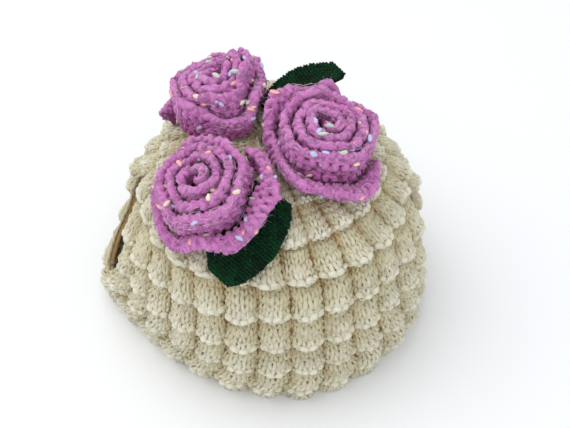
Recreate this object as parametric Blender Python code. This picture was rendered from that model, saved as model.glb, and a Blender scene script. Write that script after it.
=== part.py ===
"""A knitted tea cosy with three crocheted roses and two leaves sewn on its crown.

The cosy is two knitted panels, seamed at the spout side (-X) and at the handle side (+X), with a slit
left open in each seam. Every panel is gathered into pleats, and every pleat is a stack of puffed scales
that overhang the row below. It stands on its hem at Z = 0, and the front is -Y. Units are metres.
"""

import math
import random

import bmesh
import bpy
import numpy as np
from mathutils import Vector

NAME = "tea_cosy"
SEED = 11

# The groove between two pleats, from the hem to the gathered top: radius, height
MERIDIAN = (
    (0.0695, 0.0000),
    (0.0735, 0.0120),
    (0.0750, 0.0280),
    (0.0745, 0.0450),
    (0.0705, 0.0640),
    (0.0615, 0.0815),
    (0.0470, 0.0945),
    (0.0270, 0.1025),
    (0.0080, 0.1050),
    (0.0045, 0.1052),
)
CURVE_STEPS = 24

# Place of the crown's axis along X, which puts the origin under the middle of the whole cosy
AXIS_X = 0.0029

THICKNESS = 0.0035
SEAM_GAP = 0.0004
PLEATS = 13
PLEAT_STEPS = 4
INNER_STEPS = 2
HEM_ROW = 0.0125
ROW_PITCH = 0.0170
ROWS = 10

# Rings of one scale, from its tucked-in lower edge up: place in the row, puff
SCALE_RINGS = (
    (0.09, 0.22),
    (0.00, 1.00),
    (0.46, 0.72),
)
HEM_RINGS = (
    (0.00, 0.45),
    (0.22, 0.95),
    (0.60, 0.70),
)
PUFF = 0.0066
PUFF_RADIUS = 0.068
PUFF_LEAST = 0.74
PUFF_POWER = 0.6
SCALLOP = 0.0030
SCALE_DRIFT = 0.0013

# The slits: middle height, half height, half width
SPOUT_SLIT = (0.0460, 0.0330, 0.0215)
HANDLE_SLIT = (0.0455, 0.0275, 0.0120)
SLIT_POWER = 0.7

# How the cosy's outline in plan departs from a circle, at these heights. The hem is pulled out to a beak
# under the spout and lies flatter beside it: degrees from the spout seam, then outward at each height
PLAN_HEIGHTS = (0.000, 0.025, 0.050, 0.078, 0.104)
PLAN = (
    (0, 0.0120, 0.0110, 0.0015, -0.0050, 0.0),
    (10, 0.0080, 0.0070, 0.0005, -0.0050, 0.0),
    (20, 0.0015, 0.0010, -0.0010, -0.0045, 0.0),
    (35, -0.0040, -0.0035, -0.0020, -0.0030, 0.0),
    (50, -0.0060, -0.0045, -0.0020, -0.0015, 0.0),
    (65, -0.0050, -0.0035, -0.0010, 0.0000, 0.0),
    (85, -0.0020, -0.0010, 0.0000, 0.0000, 0.0),
    (105, 0.0020, 0.0010, 0.0000, 0.0000, 0.0),
    (135, 0.0030, 0.0010, 0.0000, 0.0000, 0.0),
    (180, 0.0050, 0.0030, 0.0025, 0.0005, 0.0),
)
PLAN_STEPS = 8

# Gap between pieces that rest on each other
REST_GAP = 0.0004

# Roses: name, centre x, centre y, radius of the roll, height in the middle, first angle
ROSES = (
    ("rose_left", -0.0275, -0.0345, 0.0238, 0.0205, math.radians(-84)),
    ("rose_right", 0.0250, -0.0075, 0.0242, 0.0225, math.radians(-130)),
    ("rose_back", -0.0240, 0.0200, 0.0215, 0.0235, math.radians(60)),
)
ROLL_TURNS = 3.5
SKIRT_TURNS = 0.85
STRIP_INNER = 0.0034
STRIP_FILL = 0.93
STRIP_STEPS = 20
RIM_HEIGHT = 0.88
SKIRT_HEIGHT = 0.42
LEAN = 0.0020
LOBE_DEPTH = 0.04
LOBES = 5
FLARE_TURNS = 0.12
END_THICK = 0.4
END_TAPER = 4.0
SEAT_TRIES = 8

# Petals of the skirt, the flared end of each strip: rose, direction in degrees, reach, extra height
PETALS = (
    ("rose_left", 75, 0.0040, 0.0050),
    ("rose_left", 32, 0.0035, 0.0050),
    ("rose_left", -16, 0.0085, 0.0025),
    ("rose_left", -62, 0.0065, 0.0000),
    ("rose_left", -105, 0.0015, 0.0000),
    ("rose_right", 145, 0.0055, 0.0060),
    ("rose_right", 200, -0.0025, 0.0000),
    ("rose_right", -100, 0.0065, 0.0000),
    ("rose_right", -45, 0.0050, 0.0000),
    ("rose_back", 190, 0.0045, 0.0000),
    ("rose_back", 125, 0.0040, 0.0000),
    ("rose_back", 60, 0.0040, 0.0030),
    ("rose_back", -50, 0.0030, 0.0040),
)
PETAL_SPREAD = math.radians(26)

# Section of the rolled strip: place across its thickness, place up its height, share of the lean
STRIP_SECTION = (
    (-0.50, 0.00, 0.00),
    (0.50, 0.00, 0.00),
    (0.50, 0.62, 0.65),
    (0.28, 1.00, 1.00),
    (-0.28, 1.00, 0.70),
    (-0.50, 0.62, 0.20),
)

# Leaves: name, base x, base y, tip x, tip y, half width, bend, lift at the tip, cup, narrowing
LEAVES = (
    ("leaf_front", 0.0015, -0.0340, -0.0200, -0.0655, 0.0155, 0.0020, 0.0010, 0.0000, 0.975),
    ("leaf_back", -0.0010, 0.0190, 0.0293, 0.0370, 0.0103, 0.0040, 0.0148, 0.0050, 0.925),
)
LEAF_THICK = 0.0026
LEAF_ALONG = 12
LEAF_ACROSS = 6
LEAF_ROOT = 0.18
LEAF_POWER = 0.42
LEAF_CLEAR = (0.0085, 0.0135)

# Finishes: name, colour, roughness
CREAM_WOOL = ("cream_wool", (0.80, 0.74, 0.58), 0.92)
ROSE_YARN = ("rose_tweed_yarn", (0.55, 0.20, 0.47), 0.90)
LEAF_YARN = ("leaf_yarn", (0.004, 0.075, 0.022), 0.88)


# The curve of the cosy's side


def smooth_curve(points, steps):
    """Points on a Catmull-Rom curve through the given ones."""
    ends = [2 * points[0] - points[1], *points, 2 * points[-1] - points[-2]]
    found = []
    for a, b, c, d in zip(ends, ends[1:], ends[2:], ends[3:]):
        for t in np.linspace(0, 1, steps, endpoint=False):
            bend = (2 * a - 5 * b + 4 * c - d) * t**2
            twist = (3 * b - a - 3 * c + d) * t**3
            found.append((2 * b + (c - a) * t + bend + twist) / 2)
    return np.array([*found, points[-1]])


SIDE = smooth_curve([np.array(row) for row in MERIDIAN], CURVE_STEPS)
SIDE_LENGTH = np.concatenate([[0], np.cumsum(np.linalg.norm(np.diff(SIDE, axis=0), axis=1))])


def outward(curve):
    """The unit normal at each point of a curve of (radius, height), away from the axis."""
    along = np.gradient(curve, axis=0)
    along /= np.linalg.norm(along, axis=1)[:, None]
    return np.stack([along[:, 1], -along[:, 0]], axis=1)


def puff_at(radius):
    """How far a full scale stands out, less where the pleats are drawn together."""
    return PUFF * np.minimum(1, radius / PUFF_RADIUS)


SIDE_OUT = outward(SIDE)
CROWN = SIDE + SIDE_OUT * puff_at(SIDE[:, 0])[:, None]
CROWN_OUT = outward(CROWN)
WIDEST = int(np.argmax(CROWN[:, 0]))
SHOULDER = np.hstack([CROWN, CROWN_OUT])[:WIDEST:-1]
OUTLINE = smooth_curve([np.array(row) for row in PLAN], PLAN_STEPS)


def on_side(length):
    """Radius, height and normal of the groove surface at a length up from the hem."""
    read = [np.interp(length, SIDE_LENGTH, column) for column in (*SIDE.T, *SIDE_OUT.T)]
    return read[0], read[1], read[2], read[3]


def over_crown(x, y, height):
    """The point at a height over the scales' tops, above a place in plan."""
    radius = math.hypot(x, y)
    z, out_r, out_z = (np.interp(radius, SHOULDER[:, 0], column) for column in SHOULDER[:, 1:].T)
    far = 1 + out_r * height / max(radius, 1e-6)
    return Vector((x * far, y * far, z + out_z * height))


def gap_to_crown(point):
    """How far a point lies outside the scales' tops."""
    place = np.array([math.hypot(point.x, point.y), point.z])
    offsets = place - CROWN
    nearest = int(np.argmin((offsets**2).sum(axis=1)))
    return float(offsets[nearest] @ CROWN_OUT[nearest])


# The knitted panels


def slit_half_width(slit, height):
    middle, half_height, half_width = slit
    place = (height - middle) / half_height
    if abs(place) >= 1:
        return 0.0
    return half_width * math.cos(place * math.pi / 2) ** SLIT_POWER


def pull(turn, height):
    """How far the wool is drawn out or in at an angle from the spout seam."""
    row = [np.interp(math.degrees(turn), OUTLINE[:, 0], reach) for reach in OUTLINE[:, 1:].T]
    return np.interp(height, PLAN_HEIGHTS, row)


def panel_point(side, across, length, out):
    """A point of a panel: across runs 0 to 1 from the spout seam to the handle seam."""
    radius, height, out_r, out_z = on_side(length)
    first = math.asin(slit_half_width(SPOUT_SLIT, height) / radius)
    last = math.pi - math.asin(slit_half_width(HANDLE_SLIT, height) / radius)
    turn = first + (last - first) * across
    reach = radius + out * out_r + pull(turn, height)
    return Vector((
        -reach * math.cos(turn),
        side * (reach * math.sin(turn) + SEAM_GAP / 2),
        height + out * out_z,
    ))


def row_ends():
    """The lower edges of the rows and the gathered top, as lengths up from the hem."""
    ends = [0.0] + [HEM_ROW + ROW_PITCH * row for row in range(ROWS - 1)]
    return [*ends, SIDE_LENGTH[-1]]


def outer_rings(side, rng):
    """The rings of the outside of a panel, from the hem up."""
    ends = row_ends()
    rings = []
    for row in range(ROWS):
        pitch = ends[row + 1] - ends[row]
        plump = [rng.uniform(PUFF_LEAST, 1) for _ in range(PLEATS)]
        drift = [rng.uniform(-SCALE_DRIFT, SCALE_DRIFT) for _ in range(PLEATS)]
        for place, puff in HEM_RINGS if row == 0 else SCALE_RINGS:
            ring = []
            for step in range(PLEATS * PLEAT_STEPS + 1):
                pleat = min(step // PLEAT_STEPS, PLEATS - 1)
                bow = math.sin(math.pi * (step / PLEAT_STEPS - pleat))
                bow = max(0.0, bow) ** PUFF_POWER
                length = ends[row] + pitch * place
                radius = on_side(length)[0]
                if row > 0:
                    drop = drift[pleat] - SCALLOP * min(1, radius / PUFF_RADIUS)
                    length += bow * drop * (1 - place)
                out = puff_at(radius) * puff * plump[pleat] * bow
                ring.append(panel_point(side, step / (PLEATS * PLEAT_STEPS), length, out))
            rings.append(ring)
    top = ends[-1]
    steps = PLEATS * PLEAT_STEPS
    rings.append([panel_point(side, step / steps, top, 0.0) for step in range(steps + 1)])
    for point in rings[0]:
        point.z = 0.0
    return rings


def inner_rings(side):
    """The plain rings of the inside, one at each row's lower edge."""
    rings = []
    steps = PLEATS * INNER_STEPS
    for length in row_ends():
        ring = [panel_point(side, step / steps, length, -THICKNESS) for step in range(steps + 1)]
        rings.append(ring)
    for point in rings[0]:
        point.z = 0.0
    return rings


def add_grid(mesh, rings):
    """Vertices of the rings and the quads between them."""
    verts = [[mesh.verts.new(point) for point in ring] for ring in rings]
    for low, high in zip(verts, verts[1:]):
        for i in range(len(low) - 1):
            mesh.faces.new((low[i], low[i + 1], high[i + 1], high[i]))
    return verts


def close_rim(mesh, fine, coarse):
    """Triangles between an edge and a coarser one that runs beside it."""
    times = (len(fine) - 1) // (len(coarse) - 1)
    half = (times + 1) // 2
    for i in range(len(coarse) - 1):
        run = fine[i * times : (i + 1) * times + 1]
        for step in range(times):
            mesh.faces.new((run[step], run[step + 1], coarse[i] if step < half else coarse[i + 1]))
        mesh.faces.new((run[half], coarse[i + 1], coarse[i]))


def column(rows, place):
    return [row[place] for row in rows]


def make_panel(name, side, rng, material, collection):
    mesh = bmesh.new()
    outer = add_grid(mesh, outer_rings(side, rng))
    inner = add_grid(mesh, inner_rings(side))
    close_rim(mesh, outer[0], inner[0])
    close_rim(mesh, outer[-1], inner[-1])
    for place in (0, -1):
        close_rim(mesh, column(outer, place), column(inner, place))
    return finish(mesh, name, material, collection)


# The leaves


def leaf_half_width(leaf, along):
    """Half the leaf's width at a place from its base, 0, to its blunt tip, 1."""
    widest, narrowing = leaf[5], leaf[9]
    place = narrowing * (LEAF_ROOT + (1 - LEAF_ROOT) * along)
    return widest * math.sin(math.pi * place) ** LEAF_POWER


def leaf_frame(leaf):
    """Base, tip, the direction along and the direction across, all in plan."""
    base, tip = np.array(leaf[1:3]), np.array(leaf[3:5])
    along = (tip - base) / np.linalg.norm(tip - base)
    return base, tip, along, np.array([-along[1], along[0]])


def leaf_point(leaf, along, across, height):
    base, tip, _, sideways = leaf_frame(leaf)
    half = leaf_half_width(leaf, along)
    bend, lift, cup = leaf[6:9]
    place = base + (tip - base) * along
    place = place + sideways * (across * half + bend * math.sin(math.pi * along))
    rise = lift * along**2 + cup * across**2 * math.sin(math.pi * min(1, along)) * along
    return over_crown(place[0], place[1], REST_GAP + rise + height)


def room_for_leaves(x, y):
    """How much higher a rose's foot sits where a leaf lies under it."""
    near, far = LEAF_CLEAR
    raised = 0.0
    for leaf in LEAVES:
        base, tip, along, sideways = leaf_frame(leaf)
        long = float(np.linalg.norm(tip - base))
        offset = np.array([x, y]) - base
        ahead = float(offset @ along) / long
        aside = float(offset @ sideways) - leaf[6] * math.sin(math.pi * min(1, max(0, ahead)))
        outside = max(
            abs(aside) - leaf_half_width(leaf, min(1, max(0, ahead))),
            -ahead * long,
            (ahead - 1) * long,
        )
        share = min(1, max(0, (far - outside) / (far - near)))
        lift = leaf[7] * min(1, max(0, ahead)) ** 2 + leaf[8]
        raised = max(raised, share * (LEAF_THICK + REST_GAP + lift))
    return raised


def make_leaf(leaf, material, collection):
    mesh = bmesh.new()
    sheets = []
    for height in (LEAF_THICK, 0.0):
        rings = []
        for i in range(LEAF_ALONG + 1):
            row = []
            for j in range(LEAF_ACROSS + 1):
                across = 2 * j / LEAF_ACROSS - 1
                row.append(leaf_point(leaf, i / LEAF_ALONG, across, height))
            rings.append(row)
        sheets.append(add_grid(mesh, rings))
    top, under = sheets
    for place in (0, -1):
        close_rim(mesh, top[place], under[place])
        close_rim(mesh, column(top, place), column(under, place))
    return finish(mesh, leaf[0], material, collection)


# The roses


def rose_frame(rose):
    """The middle of the rose's seat and three directions: two along the seat, one up from it."""
    seat = over_crown(rose[1], rose[2], 0.0)
    up = (over_crown(rose[1], rose[2], rose[4]) - seat).normalized()
    ahead = (Vector((1, 0, 0)) - up * up.x).normalized()
    return seat, ahead, up.cross(ahead), up


def petal_shape(name, angle):
    """How far the skirt of a rose flares out, and how much higher it stands, in one direction."""
    reach = rise = 0.0
    for rose_name, direction, length, height in PETALS:
        if rose_name == name:
            turn = (angle - math.radians(direction) + math.pi) % (2 * math.pi) - math.pi
            share = math.exp(-((turn / PETAL_SPREAD) ** 2))
            reach += length * share
            rise += height * share
    return reach, rise


def strip_middle(rose, turns):
    """Distance of the strip's middle line from the rose's axis, after some turns."""
    radius, first_angle = rose[3], rose[5]
    pitch = (radius - STRIP_INNER) / (ROLL_TURNS + 0.5)
    depth = LOBE_DEPTH * min(1, max(0, turns / ROLL_TURNS))
    lobes = 1 + depth * math.sin(LOBES * (first_angle + 2 * math.pi * turns))
    return (STRIP_INNER + pitch * turns) * lobes


def seat_height(frame, place_ahead, place_aside):
    """Height of the rose's foot over its seat plane, so that it rests on the scales and leaves."""
    seat, ahead, aside, up = frame
    height = 0.0
    for _ in range(SEAT_TRIES):
        point = seat + ahead * place_ahead + aside * place_aside + up * height
        wanted = REST_GAP + room_for_leaves(point.x, point.y)
        height -= gap_to_crown(point) - wanted
    return height


def strip_ring(rose, frame, turns):
    """The section of the rolled strip after some turns from the middle."""
    name, middle_height, first_angle = rose[0], rose[4], rose[5]
    seat, ahead, aside, up = frame
    angle = first_angle + 2 * math.pi * turns
    share = min(1, turns / ROLL_TURNS)
    flare = min(1, max(0, (turns - ROLL_TURNS) / FLARE_TURNS))
    middle = strip_middle(rose, turns)
    inward = min(0.5, turns)
    spacing = (strip_middle(rose, turns + 0.5) - strip_middle(rose, turns - inward)) / (0.5 + inward)
    tall = middle_height * (1 - (1 - RIM_HEIGHT) * share**2 - (RIM_HEIGHT - SKIRT_HEIGHT) * flare)
    reach, rise = petal_shape(name, angle)
    tall += rise * flare
    lean = LEAN * share + reach * flare
    ends = min(turns, ROLL_TURNS + SKIRT_TURNS - turns)
    thick = spacing * STRIP_FILL * min(1, END_THICK + END_TAPER * ends)
    ring = []
    for across, high, leaning in STRIP_SECTION:
        out = middle + thick * across + lean * leaning
        x, y = out * math.cos(angle), out * math.sin(angle)
        ring.append(seat + ahead * x + aside * y + up * (seat_height(frame, x, y) + tall * high))
    return ring


def make_rose(rose, material, collection):
    """One strip rolled from the middle out, its last turn flared as a skirt of petals."""
    frame = rose_frame(rose)
    count = round((ROLL_TURNS + SKIRT_TURNS) * STRIP_STEPS)
    rings = [strip_ring(rose, frame, step / STRIP_STEPS) for step in range(count + 1)]
    mesh = bmesh.new()
    verts = [[mesh.verts.new(point) for point in ring] for ring in rings]
    corners = len(STRIP_SECTION)
    for low, high in zip(verts, verts[1:]):
        for i in range(corners):
            following = (i + 1) % corners
            mesh.faces.new((low[i], low[following], high[following], high[i]))
    mesh.faces.new(verts[0])
    mesh.faces.new(verts[-1])
    return finish(mesh, rose[0], material, collection)


# Scene


def make_material(finish_row):
    name, colour, roughness = finish_row
    material = bpy.data.materials.new(name)
    material.use_nodes = True
    shader = material.node_tree.nodes["Principled BSDF"]
    shader.inputs["Base Color"].default_value = (*colour, 1.0)
    shader.inputs["Roughness"].default_value = roughness
    shader.inputs["Metallic"].default_value = 0.0
    material.diffuse_color = (*colour, 1.0)
    return material


def finish(mesh, name, material, collection):
    """Close, orient and shade a mesh, and put it in the scene as one sub-part."""
    bmesh.ops.translate(mesh, verts=mesh.verts, vec=(AXIS_X, 0, 0))
    bmesh.ops.recalc_face_normals(mesh, faces=mesh.faces)
    bmesh.ops.triangulate(mesh, faces=mesh.faces)
    data = bpy.data.meshes.new(name)
    mesh.to_mesh(data)
    mesh.free()
    data.shade_smooth()
    data.materials.append(material)
    obj = bpy.data.objects.new(name, data)
    collection.objects.link(obj)
    return obj


def main():
    for obj in list(bpy.data.objects):
        bpy.data.objects.remove(obj)
    collection = bpy.data.collections.new(NAME)
    bpy.context.scene.collection.children.link(collection)
    wool = make_material(CREAM_WOOL)
    rng = random.Random(SEED)
    make_panel("panel_front", -1, rng, wool, collection)
    make_panel("panel_back", 1, rng, wool, collection)
    yarn = make_material(ROSE_YARN)
    for rose in ROSES:
        make_rose(rose, yarn, collection)
    green = make_material(LEAF_YARN)
    for leaf in LEAVES:
        make_leaf(leaf, green, collection)


main()
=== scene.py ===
"""The knitted tea cosy with its yarn: stitches, crocheted roses, leaves, flecks, floor and light."""

import math
import random
from collections import namedtuple

import bmesh
import bpy
import numpy as np
from mathutils import Matrix, Vector, noise


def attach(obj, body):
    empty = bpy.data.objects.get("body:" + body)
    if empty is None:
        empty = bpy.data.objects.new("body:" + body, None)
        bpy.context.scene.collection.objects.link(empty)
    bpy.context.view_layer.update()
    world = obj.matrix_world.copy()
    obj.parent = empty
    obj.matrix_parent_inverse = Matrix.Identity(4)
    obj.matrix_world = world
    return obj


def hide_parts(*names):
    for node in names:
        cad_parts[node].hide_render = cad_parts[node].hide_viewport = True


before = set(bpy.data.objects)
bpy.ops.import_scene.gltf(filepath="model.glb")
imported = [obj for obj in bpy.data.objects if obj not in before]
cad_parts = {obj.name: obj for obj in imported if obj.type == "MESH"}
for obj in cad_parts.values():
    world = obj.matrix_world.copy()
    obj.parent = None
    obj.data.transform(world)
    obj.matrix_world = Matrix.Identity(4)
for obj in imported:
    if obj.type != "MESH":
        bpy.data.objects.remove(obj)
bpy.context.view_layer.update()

# The groove between two pleats, from the hem to the gathered top: radius, height
MERIDIAN = (
    (0.0695, 0.0000),
    (0.0735, 0.0120),
    (0.0750, 0.0280),
    (0.0745, 0.0450),
    (0.0705, 0.0640),
    (0.0615, 0.0815),
    (0.0470, 0.0945),
    (0.0270, 0.1025),
    (0.0080, 0.1050),
    (0.0045, 0.1052),
)
CURVE_STEPS = 24

# The middle of the plan, from the frame's origin
AXIS_X = 0.0029

# The knitting: wall, pleats, rows of scales and their puff
SEED = 11
SEAM_GAP = 0.0004
PLEATS = 13
HEM_ROW = 0.0125
ROW_PITCH = 0.0170
ROWS = 10
PUFF = 0.0066
PUFF_RADIUS = 0.068
PUFF_LEAST = 0.74
PUFF_POWER = 0.6
SCALLOP = 0.0030
SCALE_DRIFT = 0.0013

# The slits: middle height, half height, half width
SPOUT_SLIT = (0.0460, 0.0330, 0.0215)
HANDLE_SLIT = (0.0455, 0.0275, 0.0120)
SLIT_POWER = 0.7

# The plan's departure from a circle: degrees from the spout seam, then outward at each height
PLAN_HEIGHTS = (0.000, 0.025, 0.050, 0.078, 0.104)
PLAN = (
    (0, 0.0120, 0.0110, 0.0015, -0.0050, 0.0),
    (10, 0.0080, 0.0070, 0.0005, -0.0050, 0.0),
    (20, 0.0015, 0.0010, -0.0010, -0.0045, 0.0),
    (35, -0.0040, -0.0035, -0.0020, -0.0030, 0.0),
    (50, -0.0060, -0.0045, -0.0020, -0.0015, 0.0),
    (65, -0.0050, -0.0035, -0.0010, 0.0000, 0.0),
    (85, -0.0020, -0.0010, 0.0000, 0.0000, 0.0),
    (105, 0.0020, 0.0010, 0.0000, 0.0000, 0.0),
    (135, 0.0030, 0.0010, 0.0000, 0.0000, 0.0),
    (180, 0.0050, 0.0030, 0.0025, 0.0005, 0.0),
)
PLAN_STEPS = 8

# Between a piece and what it rests on
REST_GAP = 0.0004

# Roses: name, centre x, centre y, radius of the roll, height in the middle, first angle
ROSES = (
    ("rose_left", -0.0275, -0.0345, 0.0238, 0.0205, math.radians(-84)),
    ("rose_right", 0.0250, -0.0075, 0.0242, 0.0225, math.radians(-130)),
    ("rose_back", -0.0240, 0.0200, 0.0215, 0.0235, math.radians(60)),
)
ROLL_TURNS = 3.5
SKIRT_TURNS = 0.85
STRIP_INNER = 0.0034
STRIP_FILL = 0.93
RIM_HEIGHT = 0.88
SKIRT_HEIGHT = 0.42
LEAN = 0.0020
LOBE_DEPTH = 0.04
LOBES = 5
FLARE_TURNS = 0.12
END_THICK = 0.4
END_TAPER = 4.0
SEAT_TRIES = 8

# Petals of the skirts: rose, direction in degrees, how far it reaches out, how much higher it stands
PETALS = (
    ("rose_left", 75, 0.0040, 0.0050),
    ("rose_left", 32, 0.0035, 0.0050),
    ("rose_left", -16, 0.0085, 0.0025),
    ("rose_left", -62, 0.0065, 0.0000),
    ("rose_left", -105, 0.0015, 0.0000),
    ("rose_right", 145, 0.0055, 0.0060),
    ("rose_right", 200, -0.0025, 0.0000),
    ("rose_right", -100, 0.0065, 0.0000),
    ("rose_right", -45, 0.0050, 0.0000),
    ("rose_back", 190, 0.0045, 0.0000),
    ("rose_back", 125, 0.0040, 0.0000),
    ("rose_back", 60, 0.0040, 0.0030),
    ("rose_back", -50, 0.0030, 0.0040),
)
PETAL_SPREAD = math.radians(26)

# Section of the rolled strip, from its outer foot over the crest: across, up, share of the lean
STRIP_SECTION = (
    (0.50, 0.00, 0.00),
    (0.50, 0.62, 0.65),
    (0.28, 1.00, 1.00),
    (-0.28, 1.00, 0.70),
    (-0.50, 0.62, 0.20),
    (-0.50, 0.00, 0.00),
)

# Leaves: name, base x, base y, tip x, tip y, half width, bend, lift at the tip, cup, narrowing
LEAVES = (
    ("leaf_front", 0.0015, -0.0340, -0.0200, -0.0655, 0.0155, 0.0020, 0.0010, 0.0000, 0.975),
    ("leaf_back", -0.0010, 0.0190, 0.0293, 0.0370, 0.0103, 0.0040, 0.0148, 0.0050, 0.925),
)
LEAF_THICK = 0.0026
LEAF_ROOT = 0.18
LEAF_POWER = 0.42
LEAF_CLEAR = (0.0085, 0.0135)

# The stitches of a panel: how many in a pleat, and the rings of the net under one scale: place, puff
PLEAT_STITCHES = 5
STITCHES = PLEATS * PLEAT_STITCHES
SCALE_RINGS = (
    (0.09, 0.22),
    (0.03, 0.48),
    (-0.01, 0.80),
    (0.02, 1.00),
    (0.16, 1.00),
    (0.36, 0.84),
    (0.60, 0.62),
    (0.86, 0.38),
)
HEM_RINGS = (
    (0.00, 0.45),
    (0.08, 0.70),
    (0.18, 0.90),
    (0.30, 0.97),
    (0.44, 0.88),
    (0.60, 0.72),
    (0.78, 0.52),
    (0.94, 0.34),
)
NET_STITCH = 2

# How a scale's lower edge droops over the rings of a row, and gives way to the next row: place, share
OWN_DROOP = ((0.0, 0.6, 0.9, 1.0), (0.91, 0.60, 0.10, 0.0))
NEXT_DROOP = ((0.7, 1.0), (0.0, 0.91))
NEXT_PUFF = ((0.6, 1.0), (0.0, 1.0))

# Courses of knitting: pitch, which of a row's courses are purl ridges or hidden, their yarn, and the
# painted highlight added to the ridges' shade
COURSE_PITCH = 0.0035
RIDGE_COURSES = (1,)
HIDDEN_COURSES = (0,)
COURSE_START = 0.42
COURSE_SHIFT = 0.0002
COURSE_END = 0.15
YARN_SHARE = 0.275
YARN_LEAST = 0.0004
YARN_MOST = 0.00118
RIDGE_YARN = 1.32
RIDGE_BUMP = 0.20
RIDGE_SHINE = 0.22

# How deep the wall's face and its inside lie under the stitches
BACKING_SINK = 0.0008
WALL_INSIDE = 0.0028

# The loops of a course: size, how far they sink into the surface, unevenness, points to a stitch
Loops = namedtuple("Loops", "height depth lean sink uneven steps")
KNIT = Loops(0.0021, 0.0009, 0.245, 0.0009, 1.7, 8)
PURL = Loops(0.0017, -0.0004, 0.10, 0.0003, 1.7, 10)
CROCHET = Loops(0.0016, 0.0007, 0.15, 0.0015, 1.6, 8)
LEAF_KNIT = Loops(0.0010, -0.0004, 0.245, 0.0, 1.0, 8)

# How the loops of every course vary, and how its stitches wander over the ones below
WOBBLE_ASIDE = 0.07
WOBBLE_TALL = 0.15
WOBBLE_UP = 0.16
WOBBLE_DEEP = 0.40
WOBBLE_THICK = 0.16
WANDER = 0.30
WANDER_STITCHES = 4

# How far over the table a yarn's middle stays, in its own radii
TABLE_CLEAR = 0.9

# The selvedge: place in columns from the end, wander, yarn, and the painted highlight added to its shade
EDGE_COLUMN = 0.5
EDGE_STEP = 0.25
EDGE_WANDER = 0.35
EDGE_LIFT = 0.0002
EDGE_YARN = (0.36, 0.0012)
EDGE_SHINE = 0.2

# Painted shade of the wall behind the stitches, which darkens the gaps between them: on the scales, in the
# grooves, inside
WALL_SHADE = (0.55, -0.10, 0.35)

# Crochet of the roses: how far along the strip's section its points lie
ROSE_SECTION_RUN = (0.0, 0.0140, 0.0225, 0.0255, 0.0340, 0.0480)

# Its courses: place along the section, turn of the roll that it starts at
ROSE_COURSES = (
    (0.0035, 2.4),
    (0.0080, 2.4),
    (0.0125, 2.2),
    (0.0168, 0.0),
    (0.0208, 0.0),
    (0.0243, 0.0),
    (0.0282, 0.0),
    (0.0325, 0.0),
)
ROSE_STITCH = 0.0094
ROSE_YARN = 0.00160
ROSE_THICK_WOBBLE = 0.22
ROSE_END = 0.3

# The strip under the crochet: rings to a turn, points over its section, how deep it lies
ROSE_RINGS = 40
ROSE_BODY_RINGS = 16
ROSE_BODY_SINK = 0.0020

# Over the strip's section: painted shade and highlight of the crochet, dark at its foot and light on its
# crest, painted shade of the strip under it, and how far it can be pushed about
ROSE_SHADE = (0.10, 0.60, 0.95, 0.85, 0.40, 0.05)
ROSE_BODY_SHADE = (0.00, 0.20, 0.45, 0.45, 0.20, 0.00)
ROSE_SOFTNESS = (0.0, 0.7, 1.0, 1.0, 0.7, 0.0)

# The dents of a strip: depth, size, how much the pattern shifts with the rose's place, and where in
# the noise the push in each direction is read
CRUMPLE = 0.0024
CRUMPLE_SIZE = 0.011
CRUMPLE_SHIFT = 90
CRUMPLE_PLACES = ((0, 0, 0), (31.4, 0, 0), (0, 47.2, 0))

# The binder thread: radius, how many steps of a course it runs and stops, its drift and lift
THREAD = 0.00011
THREAD_RUN = (8, 20)
THREAD_PAUSE = (50, 160)
THREAD_DRIFT = (0.45, 0.14)
THREAD_LIFT = (0.0004, 0.0006)
THREAD_KNOT = 3

# Leaf ribs: pitch, stitch, yarn, where the first one lies, and the net and depth of the sheet under them
LEAF_RIB = 0.0016
LEAF_STITCH = 0.0024
LEAF_YARN = 0.00062
LEAF_THICK_WOBBLE = 0.15
LEAF_RIB_START = 0.3
LEAF_NET = (25, 15)
LEAF_BODY_SINK = 0.0006
# Shade of the ribs, a middle and a swing that varies at random from loop to loop, and the sheet's painted
# shade, dark between the ribs
LEAF_SHADE = (0.5, 0.3)
LEAF_BODY_SHADE = 0.1

# Loose fibres on the yarn of each kind of piece: how many to a square metre, length, half width
FUZZ = {
    "panel": (34000.0, 0.0022, 0.000050),
    "rose": (60000.0, 0.0028, 0.000060),
    "leaf": (60000.0, 0.0014, 0.000050),
}
FUZZ_SPREAD = 1.1
FUZZ_LENGTHS = (0.5, 1.3)

# Flecks on the crochet: how many to a square metre, size, lift, proportions and dents
FLECK_DENSITY = 2000.0
FLECK_SIZE = 0.0012
FLECK_LIFT = 0.0002
FLECK_SHAPES = ((1.3, 0.7, 0.6), (2.2, 1.1, 0.9))
FLECK_DENTS = 700.0
FLECK_COLOURS = (
    (0.0, (0.44, 0.50, 0.80)),
    (0.30, (0.46, 0.62, 0.48)),
    (0.55, (0.82, 0.72, 0.46)),
    (0.78, (0.88, 0.34, 0.32)),
)

# A yarn's material: finish, plies, length of a twist, sizes of fibres and patches, how they and its tint
# swing its shade and its light, how much of the shade is light, ranges of both, and its relief
Fibre = namedtuple(
    "Fibre",
    "roughness sheen sheen_tint plies twist fine patches in_shade in_light carried dark light "
    "relief depth strength",
)
WOOL = Fibre(
    0.92, 0.35, (1.0, 0.97, 0.90), 3, 0.0045, 1400.0, 55.0,
    {"hair": 0.10, "tint": 0.10, "streak": 0.25}, {"patches": 0.5}, 1.0, (-0.05, 0.40), (0.40, 1.20),
    {"wave": 0.3, "hair": 1.3, "streak": 0.5}, 0.0005, 0.8,
)
TWEED = Fibre(
    0.90, 0.45, (1.0, 0.85, 0.97), 2, 0.0060, 1000.0, 120.0,
    {"tint": 0.35}, {"streak": 1.6, "patches": 0.5}, 0.7, (0.05, 0.55), (0.25, 0.95),
    {"wave": 0.7, "hair": 1.2, "streak": 1.2}, 0.0007, 0.9,
)
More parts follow.
